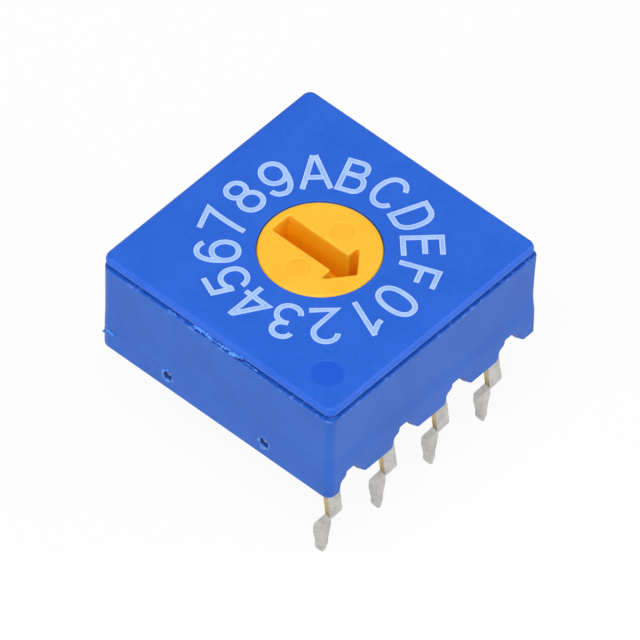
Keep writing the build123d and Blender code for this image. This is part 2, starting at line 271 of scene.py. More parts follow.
class Bench:
    """Ways to make, cut and finish meshes in millimetres."""

    @staticmethod
    def place(name: str, mesh: Optional[bpy.types.Mesh] = None) -> Object:
        """Put a mesh, or else an empty one, into the scene as an object."""
        mesh = mesh or bpy.data.meshes.new(name)
        mesh.name = name
        made = bpy.data.objects.new(name, mesh)
        bpy.context.scene.collection.objects.link(made)
        return made

    @staticmethod
    def evaluated(piece: Object) -> bpy.types.Mesh:
        """Return the object's mesh with its modifiers applied."""
        bpy.context.view_layer.update()
        graph = bpy.context.evaluated_depsgraph_get()
        return bpy.data.meshes.new_from_object(piece.evaluated_get(graph))

    @staticmethod
    def apply(piece: Object) -> None:
        """Keep what the modifiers make of a piece as its plain mesh."""
        mesh = Bench.evaluated(piece)
        piece.modifiers.clear()
        piece.data = mesh

    @staticmethod
    def keep(name: str, shape: BMesh) -> Object:
        """Make an object of a bmesh, which is freed."""
        made = Bench.place(name)
        shape.to_mesh(made.data)
        shape.free()
        return made

    @staticmethod
    def solid(name: str, shape: BMesh) -> Object:
        """Make an object of a bmesh, with its doubles merged and its faces outwards."""
        bmesh.ops.remove_doubles(shape, verts=shape.verts, dist=1e-5)
        bmesh.ops.recalc_face_normals(shape, faces=shape.faces)
        return Bench.keep(name, shape)

    @staticmethod
    def loft(name: str, rings: Sequence[Sequence[Triple]]) -> Object:
        """Skin rings of equally many points into a solid that is closed at both ends."""
        shape = bmesh.new()
        rows = [[shape.verts.new(p) for p in ring] for ring in rings]
        for low, high in zip(rows, rows[1:]):
            for i in range(len(low)):
                j = (i + 1) % len(low)
                shape.faces.new((low[i], low[j], high[j], high[i]))
        shape.faces.new(rows[0][::-1])
        shape.faces.new(rows[-1])
        return Bench.solid(name, shape)

    @staticmethod
    def lathe(name: str, profile: Outline, steps: int = 72) -> Object:
        """Turn a profile round the Z axis.

        Args:
            name: The object's name.
            profile: (radius, height) points from the axis and back to it.
            steps: Facets round the axis.

        Returns:
            The closed solid.
        """
        shape = bmesh.new()
        verts = [shape.verts.new((r, 0, z)) for r, z in profile]
        geom = verts + [shape.edges.new(pair) for pair in zip(verts, verts[1:])]
        turn = {"cent": (0, 0, 0), "axis": (0, 0, 1), "angle": 2 * math.pi, "steps": steps}
        bmesh.ops.spin(shape, geom=geom, use_merge=True, **turn)
        return Bench.solid(name, shape)

    @staticmethod
    def prism(name: str, outline: Outline, low: float, high: float) -> Object:
        """Raise an outline into a solid between two heights."""
        return Bench.loft(name, [[(x, y, z) for x, y in outline] for z in (low, high)])

    @staticmethod
    def box(name: str, low: Triple, high: Triple) -> Object:
        """Make a plain block, for use as a cutter."""
        corners = [(low[0], low[1]), (high[0], low[1]), (high[0], high[1]), (low[0], high[1])]
        return Bench.prism(name, corners, low[2], high[2])

    @staticmethod
    def quarter(steps: int) -> list[Point]:
        """Return the (1 - cos, 1 - sin) of a quarter turn's steps, for a rounded edge."""
        angles = [math.radians(90 * i / steps) for i in range(steps + 1)]
        return [(1 - math.cos(a), 1 - math.sin(a)) for a in angles]

    @staticmethod
    def rounded(x: Point, y: Point, radii: Sequence[float], steps: int) -> list[Point]:
        """Return the outline of a rectangle with rounded corners.

        Args:
            x: Where its right and left sides are.
            y: Where its back and front sides are.
            radii: The corners' radii, counter-clockwise from the back right one.
            steps: Facets in a corner.
        """
        points = []
        corners = ((x[0], y[0]), (x[1], y[0]), (x[1], y[1]), (x[0], y[1]))
        for quarter, ((across, along), radius) in enumerate(zip(corners, radii)):
            across -= math.copysign(radius, across)
            along -= math.copysign(radius, along)
            for i in range(steps + 1):
                a = math.radians(90 * (quarter + i / steps))
                points.append((across + radius * math.cos(a), along + radius * math.sin(a)))
        return points

    @staticmethod
    def square(half: float, radius: float, steps: int) -> list[Point]:
        """Return the outline of a square with rounded corners."""
        return Bench.rounded((half, -half), (half, -half), [radius] * 4, steps)

    @staticmethod
    def eased(outline: Outline, radius: float, steps: int = 4) -> list[Point]:
        """Round each corner of an outline.

        Args:
            outline: The outline's corners.
            radius: Radius of the rounding.
            steps: Facets across it.

        Returns:
            The rounded outline.
        """
        made = []
        for i, here in enumerate(outline):
            corner = Vector(here)
            back = (Vector(outline[i - 1]) - corner).normalized()
            on = (Vector(outline[(i + 1) % len(outline)]) - corner).normalized()
            half = back.angle(on) / 2
            start, end = (corner + way * radius / math.tan(half) for way in (back, on))
            for k in range(steps + 1):
                t = k / steps
                spot = start * (1 - t) ** 2 + corner * (2 * t * (1 - t)) + end * t**2
                made.append((spot.x, spot.y))
        return made

    @staticmethod
    def mitre(into: Vector, out: Vector) -> Vector:
        """Return the step to the right of a turn that moves both its sides by 1."""
        first, second = Vector((into.y, -into.x)), Vector((out.y, -out.x))
        return (first + second) / max(0.4, 1 + first.dot(second))

    @staticmethod
    def offset(outline: Outline, amount: float) -> list[Point]:
        """Move a counter-clockwise outline outwards, with mitred corners."""
        moved = []
        for i, here in enumerate(outline):
            before, after = Vector(outline[i - 1]), Vector(outline[(i + 1) % len(outline)])
            corner = Bench.mitre((Vector(here) - before).normalized(), (after - Vector(here)).normalized())
            moved.append((here[0] + corner.x * amount, here[1] + corner.y * amount))
        return moved

    @staticmethod
    def cut(piece: Object, *tools: Object) -> None:
        """Take tools out of a piece and remove the tools."""
        for tool in tools:
            modifier = piece.modifiers.new("cut", "BOOLEAN")
            modifier.operation, modifier.solver, modifier.object = "DIFFERENCE", "EXACT", tool
        Bench.apply(piece)
        for tool in tools:
            bpy.data.objects.remove(tool)

    @staticmethod
    def soften(piece: Object, width: float) -> None:
        """Round the edges that turn by more than 35 degrees, after the cuts' specks are dissolved."""
        shape = bmesh.new()
        shape.from_mesh(piece.data)
        bmesh.ops.remove_doubles(shape, verts=shape.verts, dist=2e-4)
        bmesh.ops.dissolve_degenerate(shape, dist=1e-4, edges=shape.edges)
        flat = math.radians(0.5)
        bmesh.ops.dissolve_limit(shape, angle_limit=flat, verts=shape.verts, edges=shape.edges)
        shape.to_mesh(piece.data)
        shape.free()
        modifier = piece.modifiers.new("edges", "BEVEL")
        modifier.width, modifier.segments = width, 3
        modifier.limit_method, modifier.angle_limit = "ANGLE", math.radians(35)
        modifier.use_clamp_overlap, modifier.miter_outer = False, "MITER_ARC"
        modifier.harden_normals = True
        Bench.apply(piece)

    @staticmethod
    def smooth(piece: Object, angle: float = 32) -> None:
        """Shade a piece smooth, with its edges kept sharp past an angle."""
        piece.data.shade_smooth()
        piece.data.set_sharp_from_angle(angle=math.radians(angle))
        modifier = piece.modifiers.new("normals", "WEIGHTED_NORMAL")
        modifier.keep_sharp, modifier.weight = True, 80
        Bench.apply(piece)

    @staticmethod
    def dress(piece: Object, finish: Material) -> None:
        """Give a piece its only material."""
        piece.data.materials.clear()
        piece.data.materials.append(finish)

    @staticmethod
    def deliver(piece: Object, finish: Material, body: Body, slot: Slot, *stands_for: str) -> None:
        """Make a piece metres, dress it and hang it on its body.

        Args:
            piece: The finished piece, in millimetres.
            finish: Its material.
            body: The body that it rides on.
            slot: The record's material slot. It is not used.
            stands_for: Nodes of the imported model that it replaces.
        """
        piece.data.transform(Matrix.Scale(MM, 4))
        Bench.dress(piece, finish)
        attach(piece, body.value)
        if stands_for:
            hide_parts(*stands_for)
        log.info("%s: %d faces on %s", piece.name, len(piece.data.polygons), body.value)


# ---------------------------------------------------------------- finishes


@dataclass(frozen=True)
class Mark:
    """A spot of another shade on a surface, in millimetres.

    centre and reach give its place and half sizes, and ragged how uneven its border is.
    """

    centre: Triple
    reach: Triple
    colour: Colour
    strength: float
    ragged: float

    def mask(self, net: Net, place: Term) -> Term:
        """Return how much of the mark shows at a point."""
        near = net.vector("DIVIDE", net.vector("SUBTRACT", place, self.centre), self.reach)
        away = net.node("ShaderNodeVectorMath", {0: near}, {"operation": "LENGTH"}, "Value")
        away = away + (net.noise(place, 9) - 0.5) * (4 * self.ragged)
        return net.ease(away, 0.82, 1.06, self.strength, 0)


@dataclass(frozen=True)
class Finish:
    """What every finish shares: its name, its main colour and how its material starts and ends."""

    name: str
    colour: Colour

    def material(self) -> Material:
        """Return the material, whose surface the finish adds with shade()."""
        made = bpy.data.materials.new(self.name)
        made.use_nodes = True
        net = Net(made.node_tree)
        place = net.node("ShaderNodeTexCoord", output="Object")
        self.shade(net, net.vector("MULTIPLY", place, (1 / MM,) * 3))
        return made

    @staticmethod
    def surface(net: Net, colour: Term, rough: Term, height: Term, depth: float, **more: float) -> None:
        """Add the shader and its relief.

        Args:
            net: The material's net.
            colour: The base colour.
            rough: The roughness.
            height: The relief, from 0 to 1.
            depth: The relief's full depth, in millimetres.
            more: Other values of the shader.
        """
        relief = net.node("ShaderNodeBump", {"Strength": 1.0, "Distance": depth * MM, "Height": height})
        sockets = {"Base Color": colour, "Roughness": rough, "Normal": relief, **more}
        shader = net.node("ShaderNodeBsdfPrincipled", sockets)
        net.node("ShaderNodeOutputMaterial", {"Surface": shader})


@dataclass(frozen=True)
class MouldedPlastic(Finish):
    """Satin moulded plastic with a faint cloudiness, a fine spark-eroded grain and light scuffs."""

    deep: Colour
    pale: Colour
    roughness: float
    grain: float
    scuffs: float
    marks: tuple[Mark, ...] = ()
    nicked: float = -9.0

    def nicks(self, net: Net, place: Term) -> Term:
        """Return how much of a pale nick shows at a point, along an edge at the nicked height."""
        height = net.along(place, "Z")
        above = net.ease(height, self.nicked - 0.11, self.nicked - 0.04)
        band = above * net.ease(height, self.nicked - 0.01, self.nicked + 0.03, 1, 0)
        return band * net.ease(net.noise(place, 5.5), 0.54, 0.64, 0, 0.7)

    def shade(self, net: Net, place: Term) -> None:
        """Add the plastic's surface."""
        cloud, speckle = net.noise(place, 0.7, 4), net.noise(place, 5)
        grain = net.noise(place, self.grain, 2)
        scratch = net.ease(net.noise(place, 1.0, 4, (1.1, 14, 3)), 0.64, 0.74)
        colour = net.blend(net.ease(cloud * 0.6 + speckle * 0.4, 0.36, 0.64), self.deep, self.colour)
        colour = net.blend(scratch * self.scuffs, colour, self.pale)
        colour = net.blend(self.nicks(net, place), colour, self.pale)
        for mark in self.marks:
            colour = net.blend(mark.mask(net, place), colour, mark.colour)
        rough = speckle * 0.1 + grain * 0.08 + scratch * 0.06 + (self.roughness - 0.09)
        height = grain * 0.55 + speckle * 0.3 + scratch * 0.15
        self.surface(net, colour, rough, height, 0.01, **{"IOR": 1.5, "Specular IOR Level": 0.25})


@dataclass(frozen=True)
class PrintedInk(Finish):
    """Pale pad-printed ink: thin in places, so that the blue shows, and thicker along its rim."""

    thin: Colour
    thick: Colour

    def shade(self, net: Net, place: Term) -> None:
        """Add the ink's surface."""
        cover, pores = net.noise(place, 1.6, 4), net.noise(place, 22)
        colour = net.blend(net.ease(cover * 0.6 + pores * 0.4, 0.38, 0.6), self.thin, self.colour)
        rim = net.node("ShaderNodeAttribute", settings={"attribute_name": "rim"}, output="Fac")
        colour = net.blend(rim * 0.8, colour, self.thick)
        self.surface(net, colour, pores * 0.2 + 0.4, pores, 0.006)


@dataclass(frozen=True)
class TinPlate(Finish):
    """Dull tin plate with small dents, bare copper alloy where the strip was cut, darker towards the kink,
    and painted shade on the tie bars' ends.
    """

    dull: Colour
    bare: Colour
    dark_edge: Colour
    dark_edge_height: float
    tie_end_shade: Colour
    tie_reach: float

    def shade(self, net: Net, place: Term) -> None:
        """Add the plate's surface."""
        cut = net.node("ShaderNodeAttribute", settings={"attribute_name": "bare"}, output="Fac")
        cloud, pits = net.noise(place, 2.6, 4), net.noise(place, 14)
        drawn = net.noise(place, 3, 3, (9, 9, 0.7))
        colour = net.blend(net.ease(cloud * 0.55 + pits * 0.45, 0.36, 0.62), self.dull, self.colour)
        # The bare edges darken towards the kink at their lower end, and in streaks along them.
        height = net.along(place, "Z") + cloud * 0.5
        low = net.ease(height, self.dark_edge_height - 0.1, self.dark_edge_height + 0.75, 0.85, 0)
        edge = net.blend(low, self.bare, self.dark_edge)
        edge = net.blend(net.ease(drawn, 0.45, 0.7, 0, 0.35), edge, self.dark_edge)
        colour = net.blend(cut, colour, edge)
        # Painted shade: the tie bars' ends, deep in their pockets past tie_reach in X, are coloured darker
        # and bluish.
        across = net.math("ABSOLUTE", net.along(place, "X"))
        colour = net.blend(net.ease(across, self.tie_reach, self.tie_reach + 0.05), colour, self.tie_end_shade)
        relief = cloud * 0.5 + pits * 0.35 + drawn * 0.15
        self.surface(net, colour, pits * 0.16 + drawn * 0.1 + 0.3, relief, 0.02, Metallic=0.85)


@dataclass(frozen=True)
class DrawnMetal(Finish):
    """Rolled metal strip with fine lines along one axis, a slight tarnish and pin-point pits."""

    tarnish: Colour
    roughness: float
    lines: Triple

    def shade(self, net: Net, place: Term) -> None:
        """Add the metal's surface."""
        lines, cloud = net.noise(place, 6, 3, self.lines), net.noise(place, 1.1, 4)
        pits = net.noise(place, 30, 2)
        colour = net.blend(net.ease(cloud * 0.7 + pits * 0.3, 0.4, 0.66), self.tarnish, self.colour)
        rough = lines * 0.14 + cloud * 0.1 + (self.roughness - 0.12)
        self.surface(net, colour, rough, lines * 0.7 + pits * 0.3, 0.004, Metallic=1.0)


@dataclass(frozen=True)
class SealRubber(Finish):
    """Black moulded rubber with a dusty bloom and a fine pebble."""

    bloom: Colour

    def shade(self, net: Net, place: Term) -> None:
        """Add the rubber's surface."""
        bloom, pebble = net.noise(place, 1.8, 4), net.noise(place, 26, 2)
        colour = net.blend(net.ease(bloom, 0.42, 0.68, 0, 0.7), self.colour, self.bloom)
        self.surface(net, colour, bloom * 0.2 + pebble * 0.1 + 0.5, pebble, 0.01)


@dataclass(frozen=True)
class StudioWhite(Finish):
    """A pale studio floor that the camera sees as white, with the object's soft shadow kept."""

    glow: float

    def shade(self, net: Net, place: Term) -> None:
        """Add the floor's surface."""
        paper = net.ease(net.noise(place, 0.05), 0.3, 0.7, 0, 0.5)
        floor = net.node("ShaderNodeBsdfDiffuse", {"Color": net.blend(paper, self.colour, (0.9, 0.9, 0.9))})
        glow = net.node("ShaderNodeEmission", {"Color": (1, 1, 1, 1), "Strength": 1.0})
        both = net.node("ShaderNodeMixShader", {0: net.shown() * self.glow, 1: floor, 2: glow})
        net.node("ShaderNodeOutputMaterial", {"Surface": both})


# ---------------------------------------------------------------- case


@dataclass
class Housing:
    """The blue moulded housing: waisted walls, notched feet, a hollow underside and a round cavity."""

    half: float = 5.0
    corners: tuple[float, ...] = (0.3, 0.38, 0.3, 0.2)
    rim: float = 3.71
    waist: float = 0.04
    waist_share: Point = (0.25, 1.0)
    waist_height: float = 1.75
    parting: float = 0.97
    belly: Triple = (4.35, 3.1, 0.25)
    foot_step: Point = (0.12, 0.45)
    shoulder: Outline = (
        *((-0.33, 0.73), (-0.35, 0.6), (-0.39, 0.53), (-0.57, 0.43)),
        *((-0.6, 0.36), (-0.64, 0.14), (-0.68, 0.05), (-0.76, -0.01)),
    )
    flank: Outline = (
        *((0.62, -0.01), (0.54, 0.02), (0.46, 0.065), (0.38, 0.14), (0.3, 0.26)),
        *((0.24, 0.39), (0.18, 0.53), (0.1, 0.65), (0.0, 0.73)),
    )
    flare: Point = (0.09, 0.2)
    slot: Triple = (0.31, 4.4, 0.85)
    slot_back: float = 3.84
    pitch: float = 2.54
    count: int = 4
    cavity: Point = (3.9, 1.2)
    boss: Point = (0.88, 2.01)
    pivot: Point = (0.63, 0.85)
    seat: Triple = (4.33, 0.83, 3.35)
    pocket: Triple = (4.35, 2.82, 2.2)
    tie: Point = (2.1, 0.625)
    tie_pocket: Triple = (0.17, 0.2, 0.18)
    tie_shift: Point = (-0.06, -0.05)
    edge: float = 0.035

    def ring(self, height: float, waist: float) -> list[Triple]:
        """Return the walls' outline at a height, where the +X and -Y walls are the most drawn in."""
        low, high = (self.half - share * waist for share in self.waist_share)
        return [(x, y, height) for x, y in Bench.rounded((high, -low), (low, -high), self.corners, 12)]

    def wall(self) -> Object:
        """Return the solid block with its waisted walls."""
        levels = [(0.0, 0.0), (self.parting, 0.0)]
        for i in range(1, 7):
            height = self.parting + (self.waist_height - self.parting) * (i / 6)
            levels.append((height, self.waist * math.sin(math.pi / 2 * (i / 6)) ** 1.5))
        for i in range(1, 10):
            height = self.waist_height + (self.rim - self.waist_height) * (i / 9)
            levels.append((height, self.waist * (1 - (i / 9) ** 1.6)))
        return Bench.loft("housing_shell", [self.ring(*level) for level in levels])

    def notch(self, side: int) -> Object:
        """Return the cutter of a notch, with a shoulder to the left and a round flank to the right.

        Args:
            side: -1 for the -Y side and 1 for the +Y side.

        Returns:
            The cutter, at x = 0.
        """
        out, deep = self.flare
        last = len(self.flank) - 1
        mouth = [(x + out * math.sin(math.pi * i / last), z) for i, (x, z) in enumerate(self.flank)]
        depths = (self.half + 1, self.half, self.half - deep, self.slot_back)
        rings = []
        for y, flank in zip(depths, (mouth, mouth, self.flank, self.flank)):
            foot = ((self.flank[0][0] + 0.02, -0.3), (self.shoulder[-1][0] - 0.02, -0.3))
            rings.append([(x, side * y, z) for x, z in (foot[0], *flank, *self.shoulder, foot[1])])
        return Bench.loft("notch_cutter", rings)

    def slot_cutter(self, side: int) -> Object:
        """Return the cutter of the slot in which a lead comes down behind its notch."""
        half, front, top = self.slot
        low, high = sorted((side * self.slot_back, side * front))
        return Bench.box("slot_cutter", (-half, low, -1), (half, high, top))

    def row_of(self, tool: Object, finish: Material) -> Object:
        """Return a row of cutters along X, spaced by a Geometry Nodes tree.

        Args:
            tool: The cutter that is repeated, which is removed.
            finish: Any material, which the tree needs.

        Returns:
            The cutters as one mesh.
        """
        tree = GeometryTree("row of notches")
        tree.finish(tree.copies(tree.row(), tree.shape("Tool")))
        values = {"Pitch": self.pitch, "Count": self.count, "Tool": tool}
        row = tree.run(Bench.place("notches"), finish, values)
        bpy.data.objects.remove(tool)
        return row

    def inside(self) -> list[Object]:
        """Return the cutters of the cavity, the cover's seat, the spring pockets and the hollows."""
        top, past = self.rim + 1, self.half + 1
        wide, floor = self.cavity
        hole = [(0, self.pivot[1]), self.pivot, (self.pivot[0], self.boss[1]), self.boss]
        hole += [(self.boss[0], floor), self.cavity, (wide, top), (0, top)]
        seat, (x, y, low) = Bench.square(self.seat[0], self.seat[1], 8), self.pocket
        return [
            Bench.lathe("cavity", hole, 144),
            Bench.prism("seat", seat, self.seat[2], top),
            Bench.box("pocket", (-x, -y, low), (x, y, top)),
            Bench.box("belly", (-self.belly[0], -self.belly[1], -1), self.belly),
            Bench.box("step", (self.half - self.foot_step[0], -past, -1), (past, past, self.foot_step[1])),
        ]

    def tie_pockets(self) -> list[Object]:
        """Return the cutters of the pockets in which the strip's tie bars end."""
        tools = []
        high, wide, deep = self.tie_pocket
        outline = Bench.rounded((high, -high), (wide, -wide), [0.09] * 4, 4)
        turn = Matrix.Rotation(math.radians(90), 4, "Y") @ Matrix.Rotation(math.radians(90), 4, "Z")
        for side in (-1, 1):
            ends = sorted((side * (self.half - deep), side * (self.half + 0.5)))
            for row in (-1, 1):
                tool = Bench.prism("tie_pocket", outline, *ends)
                place = (0, row * self.tie[0] + self.tie_shift[0], self.tie[1] + self.tie_shift[1])
                tool.data.transform(Matrix.Translation(place) @ turn)
                tools.append(tool)
        return tools

    def build(self, finish: Material) -> None:
        """Build the finished housing."""
        piece = self.wall()
        Bench.cut(piece, *self.inside(), *self.tie_pockets())
        for side in (-1, 1):
            for tool in (self.notch(side), self.slot_cutter(side)):
                Bench.cut(piece, self.row_of(tool, finish))
        Bench.soften(piece, self.edge)
        Bench.smooth(piece)
        Bench.deliver(piece, finish, Body.CASE, Slot.HOUSING, "housing")


@dataclass
class Cover:
    """The blue lid: a plug inside the wall, a shadow groove and a plate with a rounded top edge."""

    half: float = 4.97
    corner: float = 0.32
    edge: Point = (0.14, 0.22)
    lip: Point = (0.07, 0.13)
    under: float = 3.87
    top: float = 4.22
    groove: float = 0.2
    rim: float = 3.71
    plug: Triple = (4.3, 0.77, 3.35)
    seal: Point = (2.57, 3.85)
    window: float = 2.07
    window_edge: float = 0.025
    mark: Triple = (-3.78, -3.73, 0.57)
    sink: float = 0.02

    def rings(self) -> list[list[Triple]]:
        """Return the rings of the lid's outside, from the plug up."""
        half, corner, foot = self.plug
        levels = [(foot, half, corner), (self.rim, half, corner)]
        for height in (self.rim, self.under):
            levels.append((height, self.half - self.groove, self.corner - self.groove))
        for rise, back in Bench.quarter(6):
            back *= self.lip[0]
            levels.append((self.under + self.lip[1] * rise, self.half - back, self.corner - back))
        for back, drop in Bench.quarter(12):
            back *= self.edge[0]
            levels.append((self.top - self.edge[1] * drop, self.half - back, self.corner - back))
        return [[(x, y, z) for x, y in Bench.square(half, corner, 12)] for z, half, corner in levels]

    def build(self, finish: Material) -> None:
        """Build the finished lid."""
        piece = Bench.loft("cover_lid", self.rings())
        low, high, edge = self.plug[2] - 0.3, self.top + 0.5, self.window_edge
        profile = [(0, low), (self.seal[0], low), self.seal, (self.window, self.seal[1])]
        profile += [(self.window + edge * out, self.top - edge * drop) for out, drop in Bench.quarter(5)]
        profile += [(self.window + edge, high), (0, high)]
        x, y, reach = self.mark
        dish = [(0, self.top - self.sink), (reach - 0.03, self.top - self.sink)]
        dish += [(reach, self.top - self.sink / 3), (reach + 0.02, self.top + 0.01), (0, self.top + 0.01)]
        mark = Bench.lathe("mould_mark", dish)
        mark.data.transform(Matrix.Translation((x, y, 0)))
        Bench.cut(piece, Bench.lathe("window", profile, 192), mark)
        Bench.smooth(piece, 40)
        Bench.deliver(piece, finish, Body.CASE, Slot.COVER, "cover")


@dataclass
class SeamFlash:
    """Ragged flash in the groove under the lid, a streak and a nib at a corner, and small burrs."""

    radius: float = 0.075
    wander: float = 0.1
    flake: float = 0.11
    least: Triple = (0.15, 0.25, 0.1)
    most: Triple = (0.7, 1.1, 0.5)
    full_turn: float = 6.3
    sampling: float = 0.02
    spacing: float = 0.055
    seed: int = 7
    runs: tuple[tuple[Triple, Triple, float], ...] = (
        ((-4.97, 0.9, 3.9), (-4.99, 0.36, 3.95), 1.0),
        ((-4.96, 0.36, 3.82), (-4.97, 0.08, 3.84), 0.75),
        ((-4.96, 0.02, 3.84), (-4.98, -0.34, 3.88), 0.7),
        ((-4.97, -0.3, 3.84), (-4.98, -0.64, 3.92), 0.75),
        ((-4.97, -0.66, 3.82), (-4.99, -1.16, 3.98), 1.15),
        ((-4.96, -1.2, 3.8), (-4.96, -1.8, 3.8), 0.5),
        ((-4.96, 2.08, 3.77), (-4.96, 1.72, 3.75), 0.5),
        ((-4.99, 4.7, 0.79), (-5.0, 4.27, 0.77), 0.7),
        ((-4.84, 4.87, 0.64), (-4.89, 4.92, 0.44), 0.8),
        ((-5.0, 2.26, 0.74), (-5.0, 2.0, 0.92), 0.6),
        ((-5.0, 2.24, 0.42), (-5.0, 2.14, 0.33), 0.35),
        ((-5.0, -1.99, 0.52), (-5.0, -2.03, 0.38), 0.35),
        ((-5.0, -2.38, 0.5), (-5.0, -2.32, 0.38), 0.3),
    )

    def tree(self) -> GeometryTree:
        """Return the tree that turns plain lines into uneven beads set with flakes."""
        tree = GeometryTree("flash along a seam")
        radius, wander, size = (tree.given(name) for name in ("Radius", "Wander", "Flake size"))
        seed = tree.given("Seed", "Int")
        line = Term(tree, tree.entry.outputs["Geometry"])
        by_length = {"mode": "LENGTH"}
        fine = tree.node("GeometryNodeResampleCurve", {"Curve": line, "Length": self.sampling}, by_length)
        here = tree.node("GeometryNodeInputPosition")
        waves = {"Vector": here, "W": 3.0, "Scale": 6.0, "Detail": 3}
        drift = tree.node("ShaderNodeTexNoise", waves, {"noise_dimensions": "4D"}, "Color")
        shift = tree.scaled(tree.vector("SUBTRACT", drift, (0.5, 0.5, 0.5)), wander)
        moved = tree.node("GeometryNodeSetPosition", {"Geometry": fine, "Offset": shift})
        weight = tree.node("GeometryNodeInputRadius")
        thick = tree.ease(tree.noise(here, 8.0), 0.4, 0.62, 0.12, 1.0) * weight
        ring = tree.node("GeometryNodeCurvePrimitiveCircle", {"Resolution": 8, "Radius": radius})
        tube = {"Curve": moved, "Profile Curve": ring, "Scale": thick, "Fill Caps": True}
        bead = tree.node("GeometryNodeCurveToMesh", tube)
        along = {"Curve": moved, "Length": self.spacing}
        spots = tree.node("GeometryNodeCurveToPoints", along, by_length)
        ball = tree.node("GeometryNodeMeshIcoSphere", {"Radius": size, "Subdivisions": 2})
        any_vector = {"data_type": "FLOAT_VECTOR"}
        turns = {0: (0, 0, 0), 1: (self.full_turn,) * 3, "Seed": seed}
        turn = tree.node("FunctionNodeRandomValue", turns, any_vector)
        sizes = {0: self.least, 1: self.most, "Seed": seed + 5}
        scale = tree.scaled(tree.node("FunctionNodeRandomValue", sizes, any_vector), weight)
        flakes = tree.copies(spots, ball, Rotation=turn, Scale=scale)
        tree.finish(tree.node("GeometryNodeJoinGeometry", {0: [flakes, bead]}))
        return tree

    def build(self, finish: Material) -> None:
        """Build the flash as one piece."""
        curve = bpy.data.curves.new("flash", "CURVE")
        curve.dimensions = "3D"
        for *ends, weight in self.runs:
            line = curve.splines.new("POLY")
            line.points.add(1)
            for point, end in zip(line.points, ends):
                point.co, point.radius = (*end, 1), weight
        path = bpy.data.objects.new("seam_flash", curve)
        bpy.context.scene.collection.objects.link(path)
        values = {"Radius": self.radius, "Wander": self.wander, "Flake size": self.flake}
        piece = self.tree().run(path, finish, {**values, "Seed": self.seed})
        Bench.smooth(piece, 60)
        Bench.deliver(piece, finish, Body.CASE, Slot.HOUSING)


# ---------------------------------------------------------------- characters


@dataclass(frozen=True)
class Bow:
    """Part of an oval: centre, half sizes, start angle and turn in degrees, and its squareness."""

    x: float
    y: float
    rx: float
    ry: float
    start: float
    turn: float
    square: float

    def points(self) -> list[Point]:
        """Return points along the bow."""
        count = max(4, round(abs(self.turn) / 6))
        made = []
        for i in range(count + 1):
            a = math.radians(self.start + self.turn * i / count)
            c, s = math.cos(a), math.sin(a)
            bulge = (abs(c) ** self.square + abs(s) ** self.square) ** (-1 / self.square)
            made.append((self.x + self.rx * c * bulge, self.y + self.ry * s * bulge))
        return made


